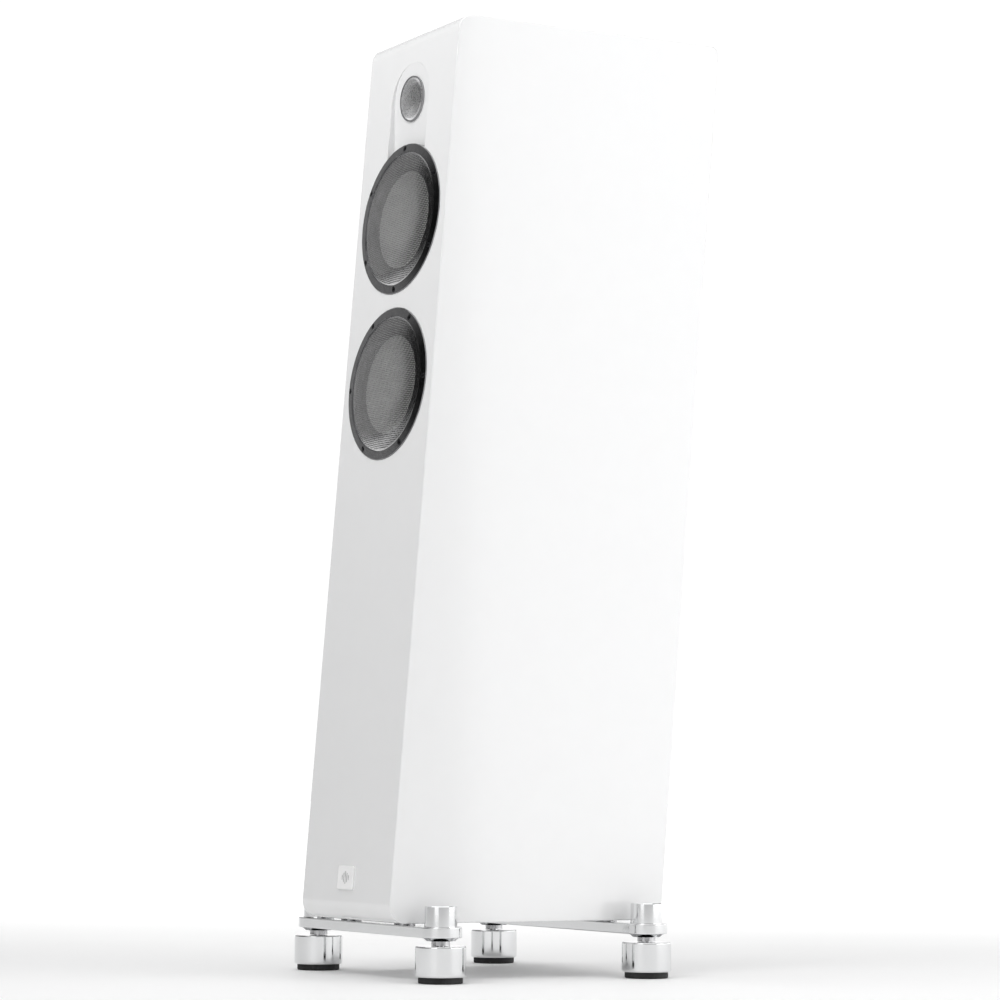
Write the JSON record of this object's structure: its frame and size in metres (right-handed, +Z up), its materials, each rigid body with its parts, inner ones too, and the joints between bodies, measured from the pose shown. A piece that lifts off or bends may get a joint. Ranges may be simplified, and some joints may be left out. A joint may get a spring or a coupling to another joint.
{
  "type": "floorstanding speaker",
  "caption": "Leaning gloss-white floorstanding loudspeaker with mesh-covered woofers and tweeter, rear passive radiators and polished outriggers on levelling feet.",
  "frame": {"origin": "on the floor, at the middle of the outline seen from above", "axes": "+Z up, front and drivers towards -Y, +X to the right when seen from the front"},
  "size_m": [0.3892, 0.4326, 1.114],
  "materials": {
    "lacquer": "high-gloss white lacquer on fibreboard",
    "fibreboard": "raw fibreboard",
    "felt": "needled felt",
    "polished_metal": "mirror polished",
    "black_steel": "black oxide",
    "satin_steel": "satin",
    "foot_rubber": "matt",
    "basket_black": "black coated casting",
    "grille_mesh": "dark perforated sheet",
    "surround_rubber": "matt",
    "ceramic": "white ceramic",
    "spider_cloth": "resin-stiffened weave",
    "ferrite": "ferrite",
    "motor_steel": "zinc plated",
    "tweeter_metal": "satin",
    "tweeter_mesh": "fine perforated sheet",
    "radiator_aluminium": "spun, satin",
    "terminal_plastic": "fine texture",
    "terminal_brass": "gold plated",
    "red_plastic": "moulded",
    "black_plastic": "moulded",
    "badge_metal": "satin",
    "circuit_board": "solder mask",
    "copper": "enamelled copper winding",
    "capacitor_film": "film capacitor wrap",
    "resistor_cement": "cement block",
    "wire_sleeve": "silicone sleeve"
  },
  "bodies": {
    "cabinet": {"back_panel": "lacquer", "badge": "badge_metal", "bottom_panel": "lacquer", "cabinet_braces": "fibreboard", "crossover_board": "circuit_board", "crossover_capacitors": "capacitor_film", "crossover_coils": "copper", "crossover_resistors": "resistor_cement", "front_baffle": "lacquer", "front_outrigger": "polished_metal", "left_side_panel": "lacquer", "lock_nuts": "satin_steel", "lower_radiator_frame": "basket_black", "lower_radiator_surround": "surround_rubber", "lower_woofer_basket": "basket_black", "lower_woofer_grille": "grille_mesh", "lower_woofer_magnet": "ferrite", "lower_woofer_motor_steel": "motor_steel", "lower_woofer_spider": "spider_cloth", "lower_woofer_surround": "surround_rubber", "outrigger_fasteners": "satin_steel", "outrigger_posts": "polished_metal", "rear_outrigger": "polished_metal", "rear_screws": "black_steel", "right_side_panel": "lacquer", "terminal_cores": "terminal_brass", "terminal_plate": "terminal_plastic", "top_panel": "lacquer", "tweeter_body": "tweeter_metal", "tweeter_grille": "tweeter_mesh", "tweeter_motor": "motor_steel", "tweeter_surround": "surround_rubber", "upper_radiator_frame": "basket_black", "upper_radiator_surround": "surround_rubber", "upper_woofer_basket": "basket_black", "upper_woofer_grille": "grille_mesh", "upper_woofer_magnet": "ferrite", "upper_woofer_motor_steel": "motor_steel", "upper_woofer_spider": "spider_cloth", "upper_woofer_surround": "surround_rubber", "wall_lining": "felt", "wire_loom": "wire_sleeve", "woofer_screws": "black_steel"},
    "upper_cone": {"upper_woofer_cone": "ceramic"},
    "lower_cone": {"lower_woofer_cone": "ceramic"},
    "tweeter_dome": {"tweeter_dome": "ceramic"},
    "upper_radiator": {"upper_radiator_diaphragm": "radiator_aluminium"},
    "lower_radiator": {"lower_radiator_diaphragm": "radiator_aluminium"},
    "red_collar": {"red_collar": "terminal_brass"},
    "red_knob": {"red_knob": "red_plastic"},
    "black_collar": {"black_collar": "terminal_brass"},
    "black_knob": {"black_knob": "black_plastic"},
    "front_left_pad": {"front_left_foot_pad": "foot_rubber"},
    "front_left_foot": {"front_left_foot_housing": "polished_metal"},
    "front_right_pad": {"front_right_foot_pad": "foot_rubber"},
    "front_right_foot": {"front_right_foot_housing": "polished_metal"},
    "rear_left_pad": {"rear_left_foot_pad": "foot_rubber"},
    "rear_left_foot": {"rear_left_foot_housing": "polished_metal"},
    "rear_right_pad": {"rear_right_foot_pad": "foot_rubber"},
    "rear_right_foot": {"rear_right_foot_housing": "polished_metal"}
  },
  "joints": [
    {"name": "upper_cone_travel", "type": "slide", "parent": "cabinet", "child": "upper_cone", "axis": [0, -0.9967, 0.0816], "range_m": [-0.0055, 0.0055], "stiffness_N_per_m": 1600, "deforming": ["upper_woofer_surround", "upper_woofer_spider"]},
    {"name": "lower_cone_travel", "type": "slide", "parent": "cabinet", "child": "lower_cone", "axis": [0, -0.9967, 0.0816], "range_m": [-0.0055, 0.0055], "stiffness_N_per_m": 1600, "deforming": ["lower_woofer_surround", "lower_woofer_spider"]},
    {"name": "tweeter_travel", "type": "slide", "parent": "cabinet", "child": "tweeter_dome", "axis": [0, -1, 0], "range_m": [-0.0005, 0.0005], "stiffness_N_per_m": 2000, "deforming": ["tweeter_surround"]},
    {"name": "upper_radiator_travel", "type": "slide", "parent": "cabinet", "child": "upper_radiator", "axis": [0, 0.9967, -0.0816], "range_m": [-0.008, 0.008], "stiffness_N_per_m": 1800, "deforming": ["upper_radiator_surround"]},
    {"name": "lower_radiator_travel", "type": "slide", "parent": "cabinet", "child": "lower_radiator", "axis": [0, 0.9967, -0.0816], "range_m": [-0.008, 0.008], "stiffness_N_per_m": 1800, "deforming": ["lower_radiator_surround"]},
    {"name": "red_collar_slide", "type": "slide", "parent": "cabinet", "child": "red_collar", "axis": [0, 0.9967, -0.0816], "range_m": [0, 0.006]},
    {"name": "red_knob_turn", "type": "hinge", "parent": "red_collar", "child": "red_knob", "pos_m": [0.019, 0.16339, 0.21187], "axis": [0, 0.9967, -0.0816], "range_deg": [0, 2165]},
    {"name": "black_collar_slide", "type": "slide", "parent": "cabinet", "child": "black_collar", "axis": [0, 0.9967, -0.0816], "range_m": [0, 0.006]},
    {"name": "black_knob_turn", "type": "hinge", "parent": "black_collar", "child": "black_knob", "pos_m": [-0.019, 0.16339, 0.21187], "axis": [0, 0.9967, -0.0816], "range_deg": [0, 2165]},
    {"name": "front_left_foot_height", "type": "slide", "parent": "cabinet", "child": "front_left_pad", "axis": [0, 0, -1], "range_m": [0, 0.0075]},
    {"name": "front_left_foot_turn", "type": "hinge", "parent": "front_left_pad", "child": "front_left_foot", "pos_m": [-0.1418, -0.17188, 0.024], "axis": [0, 0, -1], "range_deg": [0, 1805]},
    {"name": "front_right_foot_height", "type": "slide", "parent": "cabinet", "child": "front_right_pad", "axis": [0, 0, -1], "range_m": [0, 0.0075]},
    {"name": "front_right_foot_turn", "type": "hinge", "parent": "front_right_pad", "child": "front_right_foot", "pos_m": [0.1418, -0.17188, 0.024], "axis": [0, 0, -1], "range_deg": [0, 1805]},
    {"name": "rear_left_foot_height", "type": "slide", "parent": "cabinet", "child": "rear_left_pad", "axis": [0, 0, -1], "range_m": [0, 0.0075]},
    {"name": "rear_left_foot_turn", "type": "hinge", "parent": "rear_left_pad", "child": "rear_left_foot", "pos_m": [-0.1661, 0.08902, 0.024], "axis": [0, 0, -1], "range_deg": [0, 1805]},
    {"name": "rear_right_foot_height", "type": "slide", "parent": "cabinet", "child": "rear_right_pad", "axis": [0, 0, -1], "range_m": [0, 0.0075]},
    {"name": "rear_right_foot_turn", "type": "hinge", "parent": "rear_right_pad", "child": "rear_right_foot", "pos_m": [0.1661, 0.08902, 0.024], "axis": [0, 0, -1], "range_deg": [0, 1805]}
  ],
  "couplings": [
    {"joint": "red_knob_turn", "follows": "red_collar_slide", "rad_per_m": 6283.2},
    {"joint": "black_knob_turn", "follows": "black_collar_slide", "rad_per_m": 6283.2},
    {"joint": "front_left_foot_turn", "follows": "front_left_foot_height", "rad_per_m": 4188.8},
    {"joint": "front_right_foot_turn", "follows": "front_right_foot_height", "rad_per_m": 4188.8},
    {"joint": "rear_left_foot_turn", "follows": "rear_left_foot_height", "rad_per_m": 4188.8},
    {"joint": "rear_right_foot_turn", "follows": "rear_right_foot_height", "rad_per_m": 4188.8}
  ]
}
